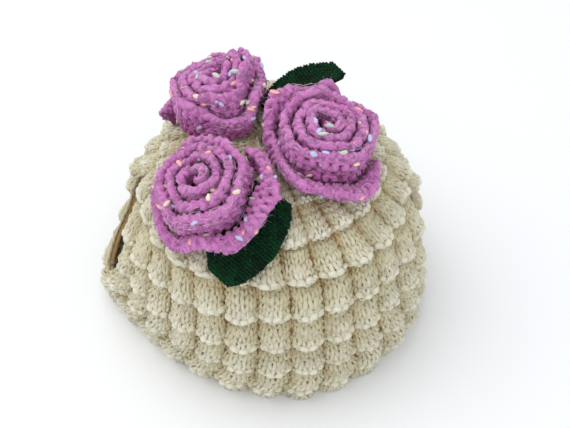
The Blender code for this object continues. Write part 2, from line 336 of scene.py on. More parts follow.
LEAF_WOOL = Fibre(
    0.95, 0.02, (0.3, 1.0, 0.5), 2, 0.0030, 1500.0, 0.0,
    {"tint": 0.25, "hair": 0.25}, {}, 0.0, (0.1, 1.0), (0.0, 1.0),
    {"wave": 0.4, "hair": 1.0, "streak": 0.4}, 0.0004, 0.8,
)
STREAKS = 16.0
STREAK_RATE = 260

# Each yarn's colours: in its gaps, darkened as painted shade, on its slopes, and on its crests, lightened
# as a painted highlight; the wall, strip and sheet under the yarns are darker still as painted shade
# between the strands, and the leaf yarn's two colours vary at random
YARN_COLOURS = {
    "cream_wool": (WOOL, (0.44, 0.28, 0.11), (0.60, 0.54, 0.35), (0.77, 0.74, 0.60)),
    "wool_wall_painted_shade": (WOOL, (0.38, 0.22, 0.08), (0.54, 0.45, 0.27), (0.60, 0.54, 0.38)),
    "rose_tweed_yarn": (TWEED, (0.38, 0.045, 0.22), (0.58, 0.135, 0.46), (0.70, 0.27, 0.60)),
    "rose_strip_painted_shade": (TWEED, (0.30, 0.025, 0.15), (0.50, 0.10, 0.38), (0.58, 0.17, 0.46)),
    "leaf_yarn": (LEAF_WOOL, (0.0, 0.010, 0.003), (0.0, 0.045, 0.011)),
    "leaf_sheet_painted_shade": (LEAF_WOOL, (0.0, 0.006, 0.002), (0.001, 0.025, 0.008)),
}
LOOSE_COLOURS = {
    "cream_fibre": (0.70, 0.67, 0.54),
    "rose_fibre": (0.80, 0.36, 0.68),
    "leaf_fibre": (0.0, 0.05, 0.012),
}
SPECULAR = 0.25
SHEEN_ROUGHNESS = 0.5

# The cloth laid flat: width and length of the knitting, of the strips and of the leaves, with their area
PANEL_FLAT = (0.290, 0.224, 0.0500)
ROSE_FLAT = {"rose_left": (0.45, 0.020), "rose_right": (0.45, 0.020), "rose_back": (0.41, 0.021)}
LEAF_FLAT = {"leaf_front": (0.031, 0.045, 0.00121), "leaf_back": (0.021, 0.043, 0.00079)}

# What each rose and each leaf lies on
SEAT = {
    "rose_left": ["panel_front", "leaf_front"],
    "rose_right": ["panel_front", "panel_back"],
    "rose_back": ["panel_back", "leaf_back"],
    "leaf_front": ["panel_front"],
    "leaf_back": ["panel_back"],
}

# The camera: what it looks at, angles in degrees, distance, and focal length in image widths
LOOK_AT = Vector((0.0115, 0.0, 0.0546))
ELEVATION = 46.7
ROLL = 1.0
DISTANCE = 0.620
SENSOR = 36.0
FOCAL = 1216 / 570

# Lamps: name, place, size, power, colour; both aim at the same point
LAMPS = (
    ("window", (-0.50, 0.15, 1.15), 1.30, 7.6, (1.0, 0.99, 0.97)),
    ("fill", (0.2, -1.1, 0.8), 1.2, 3.2, (0.97, 0.98, 1.0)),
)
LAMP_AIM = Vector((0, 0, 0.04))
SKY = (0.96, 0.98, 1.0, 1)
SKY_STRENGTH = 0.83

# The table: half its width, and how far its top lies under the hem
TABLE_REACH = 2.5
TABLE_DROP = 0.0002


# Shape of the cosy, as the CAD model has it


def smooth_curve(points, steps):
    """Points on a Catmull-Rom curve through the given ones."""
    ends = [2 * points[0] - points[1], *points, 2 * points[-1] - points[-2]]
    found = []
    for a, b, c, d in zip(ends, ends[1:], ends[2:], ends[3:]):
        for t in np.linspace(0, 1, steps, endpoint=False):
            bend = (2 * a - 5 * b + 4 * c - d) * t**2
            twist = (3 * b - a - 3 * c + d) * t**3
            found.append((2 * b + (c - a) * t + bend + twist) / 2)
    return np.array([*found, points[-1]])


def clamped(value):
    return min(1, max(0, value))


def lengths_along(points):
    """How far along a line of points each of them lies."""
    return np.concatenate([[0], np.cumsum(np.linalg.norm(np.diff(points, axis=0), axis=1))])
def outward(curve):
    """The unit normal at each point of a curve of (radius, height), away from the axis."""
    along = np.gradient(curve, axis=0)
    along /= np.linalg.norm(along, axis=1)[:, None]
    return np.stack([along[:, 1], -along[:, 0]], axis=1)


def puff_at(radius):
    """How far a full scale stands out, less where the pleats are drawn together."""
    return PUFF * np.minimum(1, radius / PUFF_RADIUS)


SIDE = smooth_curve([np.array(row) for row in MERIDIAN], CURVE_STEPS)
SIDE_LENGTH = lengths_along(SIDE)
SIDE_OUT = outward(SIDE)
CROWN = SIDE + SIDE_OUT * puff_at(SIDE[:, 0])[:, None]
CROWN_OUT = outward(CROWN)
WIDEST = int(np.argmax(CROWN[:, 0]))
SHOULDER = np.hstack([CROWN, CROWN_OUT])[:WIDEST:-1]
OUTLINE = smooth_curve([np.array(row) for row in PLAN], PLAN_STEPS)


def on_side(length):
    """Radius, height and normal of the groove surface at a length up from the hem."""
    read = [np.interp(length, SIDE_LENGTH, column) for column in (*SIDE.T, *SIDE_OUT.T)]
    return read[0], read[1], read[2], read[3]


def over_crown(x, y, height):
    """The point at a height over the scales' tops, above a place in plan."""
    radius = math.hypot(x, y)
    z, out_r, out_z = (np.interp(radius, SHOULDER[:, 0], column) for column in SHOULDER[:, 1:].T)
    far = 1 + out_r * height / max(radius, 1e-6)
    return Vector((x * far, y * far, z + out_z * height))


def gap_to_crown(point):
    """How far a point lies outside the scales' tops."""
    place = np.array([math.hypot(point.x, point.y), point.z])
    offsets = place - CROWN
    nearest = int(np.argmin((offsets**2).sum(axis=1)))
    return float(offsets[nearest] @ CROWN_OUT[nearest])


def slit_half_width(slit, height):
    middle, half_height, half_width = slit
    place = (height - middle) / half_height
    if abs(place) >= 1:
        return 0.0
    return half_width * math.cos(place * math.pi / 2) ** SLIT_POWER


def pull(turn, height):
    """How far the wool is drawn out or in at an angle from the spout seam."""
    row = [np.interp(math.degrees(turn), OUTLINE[:, 0], reach) for reach in OUTLINE[:, 1:].T]
    return np.interp(height, PLAN_HEIGHTS, row)


def panel_point(side, across, length, out):
    """A point of a panel: across runs 0 to 1 from the spout seam to the handle seam."""
    radius, height, out_r, out_z = on_side(length)
    first = math.asin(slit_half_width(SPOUT_SLIT, height) / radius)
    last = math.pi - math.asin(slit_half_width(HANDLE_SLIT, height) / radius)
    turn = first + (last - first) * across
    reach = radius + out * out_r + pull(turn, height)
    return Vector((
        -reach * math.cos(turn),
        side * (reach * math.sin(turn) + SEAM_GAP / 2),
        height + out * out_z,
    ))


def row_ends():
    """The lower edges of the rows and the gathered top, as lengths up from the hem."""
    ends = [0.0] + [HEM_ROW + ROW_PITCH * row for row in range(ROWS - 1)]
    return [*ends, SIDE_LENGTH[-1]]


def leaf_half_width(leaf, along):
    """Half the leaf's width at a place from its base, 0, to its blunt tip, 1."""
    widest, narrowing = leaf[5], leaf[9]
    place = narrowing * (LEAF_ROOT + (1 - LEAF_ROOT) * along)
    return widest * math.sin(math.pi * place) ** LEAF_POWER


def leaf_frame(leaf):
    """Base, tip, the direction along and the direction across, all in plan."""
    base, tip = np.array(leaf[1:3]), np.array(leaf[3:5])
    along = (tip - base) / np.linalg.norm(tip - base)
    return base, tip, along, np.array([-along[1], along[0]])


def leaf_point(leaf, along, across, height):
    base, tip, _, sideways = leaf_frame(leaf)
    half = leaf_half_width(leaf, along)
    bend, lift, cup = leaf[6:9]
    place = base + (tip - base) * along
    place = place + sideways * (across * half + bend * math.sin(math.pi * along))
    rise = lift * along**2 + cup * across**2 * math.sin(math.pi * min(1, along)) * along
    return over_crown(place[0], place[1], REST_GAP + rise + height)


def room_for_leaves(x, y):
    """How much higher a rose's foot sits where a leaf lies under it."""
    near, far = LEAF_CLEAR
    raised = 0.0
    for leaf in LEAVES:
        base, tip, along, sideways = leaf_frame(leaf)
        long = float(np.linalg.norm(tip - base))
        offset = np.array([x, y]) - base
        ahead = float(offset @ along) / long
        inside = clamped(ahead)
        aside = float(offset @ sideways) - leaf[6] * math.sin(math.pi * inside)
        outside = max(abs(aside) - leaf_half_width(leaf, inside), -ahead * long, (ahead - 1) * long)
        share = clamped((far - outside) / (far - near))
        lift = leaf[7] * inside**2 + leaf[8]
        raised = max(raised, share * (LEAF_THICK + REST_GAP + lift))
    return raised


def rose_frame(rose):
    """The middle of the rose's seat and three directions: two along the seat, one up from it."""
    seat = over_crown(rose[1], rose[2], 0.0)
    up = (over_crown(rose[1], rose[2], rose[4]) - seat).normalized()
    ahead = (Vector((1, 0, 0)) - up * up.x).normalized()
    return seat, ahead, up.cross(ahead), up


def petal_shape(name, angle):
    """How far the skirt of a rose flares out, and how much higher it stands, in one direction."""
    reach = rise = 0.0
    for rose_name, direction, length, height in PETALS:
        if rose_name == name:
            turn = (angle - math.radians(direction) + math.pi) % (2 * math.pi) - math.pi
            share = math.exp(-((turn / PETAL_SPREAD) ** 2))
            reach += length * share
            rise += height * share
    return reach, rise


def strip_middle(rose, turns):
    """Distance of the strip's middle line from the rose's axis, after some turns."""
    radius, first_angle = rose[3], rose[5]
    pitch = (radius - STRIP_INNER) / (ROLL_TURNS + 0.5)
    depth = LOBE_DEPTH * clamped(turns / ROLL_TURNS)
    lobes = 1 + depth * math.sin(LOBES * (first_angle + 2 * math.pi * turns))
    return (STRIP_INNER + pitch * turns) * lobes


def seat_height(frame_of_rose, place_ahead, place_aside):
    """Height of the rose's foot over its seat plane, so that it rests on the scales and leaves."""
    seat, ahead, aside, up = frame_of_rose
    height = 0.0
    for _ in range(SEAT_TRIES):
        point = seat + ahead * place_ahead + aside * place_aside + up * height
        wanted = REST_GAP + room_for_leaves(point.x, point.y)
        height -= gap_to_crown(point) - wanted
    return height


def strip_ring(rose, frame_of_rose, turns):
    """The section of the rolled strip after some turns from the middle."""
    name, middle_height, first_angle = rose[0], rose[4], rose[5]
    seat, ahead, aside, up = frame_of_rose
    angle = first_angle + 2 * math.pi * turns
    share = min(1, turns / ROLL_TURNS)
    flare = clamped((turns - ROLL_TURNS) / FLARE_TURNS)
    middle = strip_middle(rose, turns)
    inward = min(0.5, turns)
    spacing = (strip_middle(rose, turns + 0.5) - strip_middle(rose, turns - inward)) / (0.5 + inward)
    tall = middle_height * (1 - (1 - RIM_HEIGHT) * share**2 - (RIM_HEIGHT - SKIRT_HEIGHT) * flare)
    reach, rise = petal_shape(name, angle)
    tall += rise * flare
    lean = LEAN * share + reach * flare
    ends = min(turns, ROLL_TURNS + SKIRT_TURNS - turns)
    thick = spacing * STRIP_FILL * min(1, END_THICK + END_TAPER * ends)
    ring = []
    for across, high, leaning in STRIP_SECTION:
        out = middle + thick * across + lean * leaning
        x, y = out * math.cos(angle), out * math.sin(angle)
        foot = seat_height(frame_of_rose, x, y)
        ring.append(seat + ahead * x + aside * y + up * (foot + tall * high))
    return ring


# Smooth surfaces through nets of points


def curve_weights(t):
    """The four Catmull-Rom weights at places between two points."""
    return np.stack([
        (-t + 2 * t**2 - t**3) / 2,
        (2 - 5 * t**2 + 3 * t**3) / 2,
        (t + 4 * t**2 - 3 * t**3) / 2,
        (t**3 - t**2) / 2,
    ])


class Surface:
    """A smooth surface through a net of points: u counts its columns and v its rows."""

    def __init__(self, net, faces_out=1):
        self.net = np.array(net, dtype=float)
        self.net[..., 0] += AXIS_X
        self.faces_out = faces_out
        self.rows, self.columns = self.net.shape[:2]
        pads = [(1, 1), (1, 1)] + [(0, 0)] * (self.net.ndim - 2)
        self.padded = np.pad(self.net, pads, mode="reflect", reflect_type="odd")

    def at(self, u, v):
        u = np.clip(u, 0, self.columns - 1)
        v = np.clip(v, 0, self.rows - 1)
        i = np.clip(np.floor(v).astype(int), 0, self.rows - 2)
        j = np.clip(np.floor(u).astype(int), 0, self.columns - 2)
        down, right = curve_weights(v - i), curve_weights(u - j)
        found = np.zeros((*u.shape, 3))
        for a in range(4):
            for b in range(4):
                found += (down[a] * right[b])[..., None] * self.padded[i + a, j + b]
        return found

    def slopes(self, u, v):
        """How far the surface runs for each step of u and of v."""
        step = 0.02
        return (
            (self.at(u + step, v) - self.at(u - step, v)) / (2 * step),
            (self.at(u, v + step) - self.at(u, v - step)) / (2 * step),
        )

    def out(self, u, v):
        right, up = self.slopes(u, v)
        normal = np.cross(right, up) * self.faces_out
        return normal / np.maximum(1e-12, np.linalg.norm(normal, axis=-1))[..., None]

    def stitch_width(self, u, v):
        """How wide a stitch of a panel is, where the net's columns draw together or spread."""
        return np.linalg.norm(self.slopes(u, v)[0], axis=1) * NET_STITCH


def even_steps(wave, steps, width, height):
    """Places from 0 to 1 that cut a wave of that width and height into even lengths."""
    t = np.linspace(0, 1, 200)
    length = lengths_along(np.stack([t * width, wave(t) * height], axis=1))
    return np.interp(np.linspace(0, length[-1], steps + 1), length, t)


def scale_bow(share):
    return np.maximum(0, np.sin(np.pi * share)) ** PUFF_POWER


def panel_nets(side, rng):
    """Nets of a panel, two columns to a stitch and eight rings to a scale: face, wall, inside."""
    ends = row_ends()
    steps = PLEAT_STITCHES * NET_STITCH
    shares = even_steps(scale_bow, steps, math.pi * MERIDIAN[2][0] / PLEATS, PUFF)
    plump, drift = [], []
    for _ in range(ROWS):
        plump.append([rng.uniform(PUFF_LEAST, 1) for _ in range(PLEATS)])
        drift.append([rng.uniform(-SCALE_DRIFT, SCALE_DRIFT) for _ in range(PLEATS)])
    sinks = (0.0, BACKING_SINK, WALL_INSIDE)
    nets, bright = [[] for _ in sinks], []
    for row in range(ROWS):
        above = min(row + 1, ROWS - 1)
        rings = HEM_RINGS if row == 0 else SCALE_RINGS
        for step, (place, puff) in enumerate(rings):
            part = step / len(rings)
            own = np.interp(part, *OWN_DROOP) if row else 0
            next_one = np.interp(part, *NEXT_DROOP)
            mix = np.interp(part, *NEXT_PUFF)
            length = np.interp(row + place, range(ROWS + 1), ends)
            radius = on_side(length)[0]
            scallop = SCALLOP * min(1, radius / PUFF_RADIUS)
            rings_here, shine = [[] for _ in sinks], []
            for column in range(PLEATS * steps + 1):
                pleat = min(column // steps, PLEATS - 1)
                share = shares[column - pleat * steps]
                bow = float(scale_bow(share))
                drop = own * (drift[row][pleat] - scallop) + next_one * (drift[above][pleat] - scallop)
                fat = plump[row][pleat] * (1 - mix) + plump[above][pleat] * mix
                out = puff_at(radius) * puff * fat * bow
                across = (pleat + share) / PLEATS
                for ring, sink in zip(rings_here, sinks):
                    ring.append(panel_point(side, across, length + bow * drop, out - sink))
                # How far the scale puffs out here: this becomes the yarn's painted shade and highlight,
                # dark in the grooves and light on the puffs
                shine.append(puff * bow)
            for net, ring in zip(nets, rings_here):
                net.append(ring)
            bright.append(shine)
    for net, sink in zip(nets, sinks):
        shares = [column / (PLEATS * steps) for column in range(PLEATS * steps + 1)]
        net.append([panel_point(side, across, ends[-1], -sink) for across in shares])
        for point in (point for ring in net for point in ring):
            point.z = max(point.z, 0.0)
    bright.append([0.0] * (PLEATS * steps + 1))
    return nets, np.array(bright)


def ring_lengths():
    """How far up the wool each ring of the net lies, measured over the puffed scales."""
    ends = row_ends()
    spots = []
    for row in range(ROWS):
        for place, puff in HEM_RINGS if row == 0 else SCALE_RINGS:
            spots.append((np.interp(row + place, range(ROWS + 1), ends), puff * PUFF))
    spots.append((ends[-1], 0.0))
    return lengths_along(np.array(spots))


def add_grid(mesh, points):
    """Quads over a grid of points, and its vertices."""
    verts = [[mesh.verts.new(point) for point in ring] for ring in points]
    for low, high in zip(verts, verts[1:]):
        for i in range(len(low) - 1):
            mesh.faces.new((low[i], low[i + 1], high[i + 1], high[i]))
    return verts


def close_rims(mesh, outer, inner):
    """Joins the four edges of two grids of the same size."""
    for place in (0, -1):
        for fine, coarse in (
            (outer[place], inner[place]),
            ([row[place] for row in outer], [row[place] for row in inner]),
        ):
            for a, b, c, d in zip(fine, fine[1:], coarse[1:], coarse):
                mesh.faces.new((a, b, c, d))


def add_object(name, data):
    obj = bpy.data.objects.new(name, data)
    bpy.context.scene.collection.objects.link(obj)
    return obj


def store(data, kind, values):
    """One number of a kind at each point of a mesh."""
    data.attributes.new(kind, "FLOAT", "POINT").data.foreach_set("value", values.astype(np.float32))


def finished(mesh, name, material):
    """A bmesh as a smooth object that faces outwards."""
    bmesh.ops.recalc_face_normals(mesh, faces=mesh.faces)
    data = bpy.data.meshes.new(name)
    mesh.to_mesh(data)
    mesh.free()
    data.shade_smooth()
    data.materials.append(material)
    return add_object(name, data)


def two_sided(name, outer, inner, material):
    mesh = bmesh.new()
    close_rims(mesh, add_grid(mesh, outer), add_grid(mesh, inner))
    return finished(mesh, name, material)


# Yarn


class Yarns:
    """Runs of yarn, collected as points with a radius, a shade, a length along and a tint."""

    def __init__(self):
        self.points, self.thick, self.shade, self.length, self.tint = [], [], [], [], []
        self.edges = []

    def add(self, points, thick, shade, tint):
        first = sum(len(run) for run in self.points)
        self.points.append(points)
        for kept, value in ((self.thick, thick), (self.shade, shade), (self.tint, tint)):
            kept.append(np.broadcast_to(value, len(points)))
        self.length.append(lengths_along(points))
        numbers = np.arange(first, first + len(points))
        self.edges.append(np.stack([numbers[:-1], numbers[1:]], axis=1))

    def grown(self, tree, name, sides, material):
        """The runs as round yarn: edges with one number of each kind at a point, and a tree on them."""
        data = bpy.data.meshes.new(f"{name}_lines")
        points = np.concatenate(self.points)
        points[:, 2] = np.maximum(points[:, 2], np.concatenate(self.thick) * TABLE_CLEAR)
        data.from_pydata(points.tolist(), np.concatenate(self.edges).tolist(), [])
        for kind in ("thick", "shade", "length", "tint"):
            store(data, kind, np.concatenate(getattr(self, kind)))
        lines = add_object(f"{name}_lines", data)
        yarn = grow(lines, tree, name, Sides=sides, Material=material)
        bpy.data.objects.remove(lines)
        return yarn


# A course of loops: its points, their places on the surface, how thick and how far in or out they are
Course = namedtuple("Course", "points u v wobble bump")


def course(surface, first, last, u_of, v_of, chance, loops):
    """One course of loops: u_of and v_of place stitch numbers and heights on the surface."""
    count = int(round((last - first) * loops.steps)) + 1
    stitch = np.linspace(first, last, count)
    t = 2 * np.pi * stitch
    knots = np.arange(math.floor(first), math.ceil(last) + 2)
    wobble = [np.interp(stitch, knots, chance.uniform(-1, 1, len(knots))) for _ in range(4)]
    bends = knots[0] + WANDER_STITCHES * np.arange(len(knots) // WANDER_STITCHES + 2)
    wander = WANDER * np.interp(stitch, bends, chance.uniform(-1, 1, len(bends)))
    sideways = stitch + wander + loops.lean * np.sin(2 * t) + WOBBLE_ASIDE * loops.uneven * wobble[0]
    tall = (1 + WOBBLE_TALL * loops.uneven * wobble[1]) * np.cos(t)
    upward = loops.height * (tall + WOBBLE_UP * loops.uneven * wobble[2])
    u, v = u_of(sideways), v_of(upward)
    bump = np.cos(2 * t)
    deep = WOBBLE_DEEP * loops.uneven * abs(loops.depth) * wobble[3]
    raised = deep - loops.depth * bump - loops.sink
    points = surface.at(u, v) + surface.out(u, v) * raised[:, None]
    return Course(points, u, v, wobble[1], bump)


# Geometry Nodes


class Growth:
    """A Geometry Nodes tree with named inputs and a material, built node by node."""

    def __init__(self, name, **inputs):
        self.tree = bpy.data.node_groups.new(name, "GeometryNodeTree")
        self.tree.is_modifier = True
        face = self.tree.interface
        face.new_socket("Geometry", in_out="INPUT", socket_type="NodeSocketGeometry")
        face.new_socket("Geometry", in_out="OUTPUT", socket_type="NodeSocketGeometry")
        for key, value in inputs.items():
            kind = "NodeSocketInt" if isinstance(value, int) else "NodeSocketFloat"
            face.new_socket(key, in_out="INPUT", socket_type=kind).default_value = value
        face.new_socket("Material", in_out="INPUT", socket_type="NodeSocketMaterial")
        self.given = self.tree.nodes.new("NodeGroupInput").outputs
        self.result = self.tree.nodes.new("NodeGroupOutput")

    def node(self, kind, settings=None, values=None, out=0):
        """A node of that type, with its settings made before its sockets are filled."""
        node = self.tree.nodes.new(kind)
        for key, value in (settings or {}).items():
            setattr(node, key, value)
        for key, value in (values or {}).items():
            if isinstance(value, bpy.types.NodeSocket):
                self.tree.links.new(value, node.inputs[key])
            else:
                node.inputs[key].default_value = value
        return node.outputs[out]

    def vector(self, operation, first, second):
        """Vector Math, where the second socket is a plain number if the vector is scaled."""
        other = "Scale" if operation == "SCALE" else 1
        return self.node("ShaderNodeVectorMath", {"operation": operation}, {0: first, other: second})

    def random(self, seed, low=0.0, high=1.0):
        """A random number, or a random vector between two."""
        if isinstance(low, tuple):
            settings, values, out = {"data_type": "FLOAT_VECTOR"}, {"Min": low, "Max": high}, 0
        else:
            settings, values, out = {"data_type": "FLOAT"}, {2: low, 3: high}, 1
        return self.node("FunctionNodeRandomValue", settings, {"Seed": seed, **values}, out)

    def store(self, geometry, name, value, domain="POINT"):
        return self.node(
            "GeometryNodeStoreNamedAttribute",
            {"data_type": "FLOAT", "domain": domain},
            {"Geometry": geometry, "Name": name, "Value": value},
        )

    def scatter(self):
        """Points strewn over the faces of the given mesh: their places, normals and rotations."""
        values = {"Mesh": "Geometry", "Density": "Density", "Seed": "Seed"}
        values = {key: self.given[name] for key, name in values.items()}
        return self.node("GeometryNodeDistributePointsOnFaces", values=values).node.outputs

    def close(self, geometry):
        """Makes the instances real, gives them the material and ends the tree."""
        real = self.node("GeometryNodeRealizeInstances", values={"Geometry": geometry})
        values = {"Geometry": real, "Material": self.given["Material"]}
        painted = self.node("GeometryNodeSetMaterial", values=values)
        self.tree.links.new(painted, self.result.inputs["Geometry"])
        return self.tree


def grow(obj, tree, name, **values):
    """The plain mesh that a tree makes from an object, as an object of its own."""
    modifier = obj.modifiers.new(name, "NODES")
    modifier.node_group = tree
    for item in tree.interface.items_tree:
        if item.in_out == "INPUT" and item.name in values:
            modifier[item.identifier] = values[item.name]
    graph = bpy.context.evaluated_depsgraph_get()
    data = bpy.data.meshes.new_from_object(obj.evaluated_get(graph))
    data.name = name
    obj.modifiers.remove(modifier)
    return add_object(name, data)


def yarn_tree():
    """Round yarn along every run of edges."""
    growth = Growth("yarn", Sides=5)
    curve = growth.node("GeometryNodeMeshToCurve", values={"Mesh": growth.given["Geometry"]})
    thick = growth.node("GeometryNodeInputNamedAttribute", {"data_type": "FLOAT"}, {"Name": "thick"})
    curve = growth.node("GeometryNodeSetCurveRadius", values={"Curve": curve, "Radius": thick})
    values = {"Resolution": growth.given["Sides"], "Radius": 1.0}
    ring = growth.node("GeometryNodeCurvePrimitiveCircle", {"mode": "RADIUS"}, values)
    ring = growth.store(ring, "around", growth.node("GeometryNodeSplineParameter"))
    radius = growth.node("GeometryNodeInputRadius")
    values = {"Curve": curve, "Profile Curve": ring, "Scale": radius, "Fill Caps": True}
    tube = growth.node("GeometryNodeCurveToMesh", values=values)
    return growth.close(growth.node("GeometryNodeSetShadeSmooth", values={"Geometry": tube}))


def fleck_tree():
    """Slubs of coloured fibre scattered on the yarn."""
    growth = Growth("flecks", Density=FLECK_DENSITY, Seed=3)
    spots = growth.scatter()
    lift = growth.vector("SCALE", spots["Normal"], FLECK_LIFT)
    raised = growth.node("GeometryNodeSetPosition", values={"Geometry": spots["Points"], "Offset": lift})
    slub = growth.node("GeometryNodeMeshIcoSphere", values={"Radius": 1.0, "Subdivisions": 2})
    size = growth.vector("SCALE", growth.random(5, *FLECK_SHAPES), FLECK_SIZE)
    values = {"Points": raised, "Instance": slub, "Rotation": spots["Rotation"], "Scale": size}
    placed = growth.node("GeometryNodeInstanceOnPoints", values=values)
    placed = growth.store(placed, "hue", growth.random(8), "INSTANCE")
    placed = growth.node("GeometryNodeRealizeInstances", values={"Geometry": placed})
    dents = growth.node("ShaderNodeTexNoise", values={"Scale": FLECK_DENTS, "Detail": 2.0}, out=1)
    dents = growth.vector("SCALE", growth.vector("SUBTRACT", dents, (0.5, 0.5, 0.5)), FLECK_SIZE)
    placed = growth.node("GeometryNodeSetPosition", values={"Geometry": placed, "Offset": dents})
    return growth.close(growth.node("GeometryNodeSetShadeSmooth", values={"Geometry": placed}))


def fuzz_tree():
    """Short loose fibres that stand out from the yarn, each a thin three-sided spike."""
    growth = Growth("fuzz", Density=1.0, Seed=3, Length=1.0, Width=1.0)
    spots, width = growth.scatter(), growth.given["Width"]
    values = {"Vertices": 3, "Radius Top": 0.0, "Radius Bottom": 1.0, "Depth": 1.0}
    spike = growth.node("GeometryNodeMeshCone", {"fill_type": "NONE"}, values)
    tip = growth.random(6, (-FUZZ_SPREAD,) * 3, (FUZZ_SPREAD,) * 3)
    ahead = growth.vector("ADD", spots["Normal"], tip)
    turn = growth.node("FunctionNodeAlignRotationToVector", {"axis": "Z"}, {"Vector": ahead})
    values = {0: growth.random(7, *FUZZ_LENGTHS), 1: growth.given["Length"]}
    long = growth.node("ShaderNodeMath", {"operation": "MULTIPLY"}, values)
    size = growth.node("ShaderNodeCombineXYZ", values={"X": width, "Y": width, "Z": long})
    values = {"Points": spots["Points"], "Instance": spike, "Rotation": turn, "Scale": size}
    return growth.close(growth.node("GeometryNodeInstanceOnPoints", values=values))


# Materials


class Value:
    """A shader socket that takes part in arithmetic."""

    def __init__(self, paint, socket):
        self.paint, self.socket = paint, socket

    def math(self, operation, *others, swap=False):
        terms = [self, *others]
        if swap:
            terms.reverse()
        return self.paint.node("ShaderNodeMath", {"operation": operation}, dict(enumerate(terms)))

    def __add__(self, other):
        return self.math("ADD", other)

    __radd__ = __add__

    def __sub__(self, other):
        return self.math("SUBTRACT", other)

    def __rsub__(self, other):
        return self.math("SUBTRACT", other, swap=True)

    def __mul__(self, other):
        return self.math("MULTIPLY", other)

    __rmul__ = __mul__

    def between(self, low, high):
        """0 at or under low, 1 at or over high."""
        values = {"Value": self, "From Min": low, "From Max": high}
        return self.paint.node("ShaderNodeMapRange", {}, values)

    def swung(self, noises, shares):
        """The value, moved up and down by a share of each of some noises."""
        moved = self
        for kind, share in shares.items():
            moved = moved + share * (noises[kind] - 0.5)
        return moved

class Paint:
    """One material and its nodes."""

    def __init__(self, name, roughness, sheen=0.0, sheen_tint=(1, 1, 1)):
        self.material = bpy.data.materials.new(name)
        self.material.use_nodes = True
        self.tree = self.material.node_tree
        self.shader = self.tree.nodes["Principled BSDF"]
        finish = {
            "Roughness": roughness,
            "Metallic": 0.0,
            "Specular IOR Level": SPECULAR,
            "Sheen Weight": sheen,
            "Sheen Roughness": SHEEN_ROUGHNESS,
            "Sheen Tint": (*sheen_tint, 1),
        }
        for key, value in finish.items():
            self.shader.inputs[key].default_value = value

    def node(self, kind, settings=None, values=None, out=0):
        """A node of that type, with its settings made before its sockets are filled."""
        node = self.tree.nodes.new(kind)
        for key, value in (settings or {}).items():
            if key == "stops":
                self.set_stops(node.color_ramp, value)
            else:
                setattr(node, key, value)
        for key, value in (values or {}).items():
            self.fill(node.inputs[key], value)
        return Value(self, node.outputs[out])

    def set_stops(self, ramp, stops):
        """Sets up a ramp that steps from one colour to the next."""
        ramp.interpolation = "CONSTANT"
        while len(ramp.elements) < len(stops):
            ramp.elements.new(1.0)
        for element, (place, colour) in zip(ramp.elements, stops):
            element.position = place
            element.color = (*colour, 1)

    def fill(self, socket, value):
        if isinstance(value, Value):
            self.tree.links.new(value.socket, socket)
        elif isinstance(value, tuple) and len(value) == 3 and socket.type == "RGBA":
            socket.default_value = (*value, 1)
        else:
            socket.default_value = value

    def attribute(self, name):
        return self.node("ShaderNodeAttribute", {"attribute_name": name}, out=2)

    def places(self):
        return self.node("ShaderNodeTexCoord", out=3)

    def noise(self, where, scale, detail=2.0):
        return self.node("ShaderNodeTexNoise", {}, {"Vector": where, "Scale": scale, "Detail": detail})

    def mix(self, share, first, second):
        """Colour first, turning to second as share grows."""
        values = {"Factor": share, 6: first, 7: second}
        return self.node("ShaderNodeMix", {"data_type": "RGBA"}, values, out=2)

    def finish(self, colour, height=None, distance=0.001, strength=1.0):
        self.fill(self.shader.inputs["Base Color"], colour)
        if height is not None:
            values = {"Height": height, "Distance": distance, "Strength": strength}
            self.fill(self.shader.inputs["Normal"], self.node("ShaderNodeBump", {}, values))
        return self.material


def yarn_paint(name, fibre, gap, slope, *crest):
    """A yarn's material: twisted plies with fibres and streaks on them, coloured from its gap colour, a
    painted shade, to its crest colour, a painted highlight, as its shade attribute rises.
    """
    paint = Paint(name, fibre.roughness, fibre.sheen, fibre.sheen_tint)
    along, around = paint.attribute("length"), paint.attribute("around")
    turned = around * STREAKS + along * (STREAKS / (fibre.plies * fibre.twist))
    where = paint.node("ShaderNodeCombineXYZ", {}, {0: along * STREAK_RATE, 1: turned})
    twist = along * (2 * math.pi / fibre.twist) + around * (2 * math.pi * fibre.plies)
    noises = {
        "wave": twist.math("SINE"),
        "hair": paint.noise(paint.places(), fibre.fine, 3.0),
        "streak": paint.noise(where, 1.0),
        "tint": paint.attribute("tint"),
    }
    shade = paint.attribute("shade").swung(noises, fibre.in_shade)
    colour = paint.mix(shade.between(*fibre.dark), gap, slope)
    if crest:
        noises["patches"] = paint.noise(paint.places(), fibre.patches)
        lit = (shade * fibre.carried).swung(noises, fibre.in_light)
        colour = paint.mix(lit.between(*fibre.light), colour, *crest)
    relief = sum(share * noises[kind] for kind, share in fibre.relief.items())
    return paint.finish(colour, relief, fibre.depth, fibre.strength)


def binder_thread():
    """The thin pale thread that binds the tweed yarn."""
    paint = Paint("binder_thread", 0.6, sheen=0.3)
    patches = paint.noise(paint.places(), 160.0)
    colour = paint.mix(patches.between(0.35, 0.65), (0.84, 0.46, 0.72), (0.92, 0.74, 0.86))
    return paint.finish(colour)


def fleck_fibre():
    """Slubs in pale blue, mint, straw and coral."""
    paint = Paint("fleck_fibre", 0.9, sheen=0.4)
    hue = paint.attribute("hue")
    hue = paint.node("ShaderNodeValToRGB", {"stops": FLECK_COLOURS}, {"Fac": hue})
    hair = paint.noise(paint.places(), 1600.0, 3.0)
    colour = paint.mix(hair.between(0.35, 1.1), hue, (0.90, 0.84, 0.82))
    return paint.finish(colour, hair, 0.0005, 0.8)


# Pieces


def dress(piece, node=None):
    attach(piece, "root")
    if node:
        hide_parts(node)


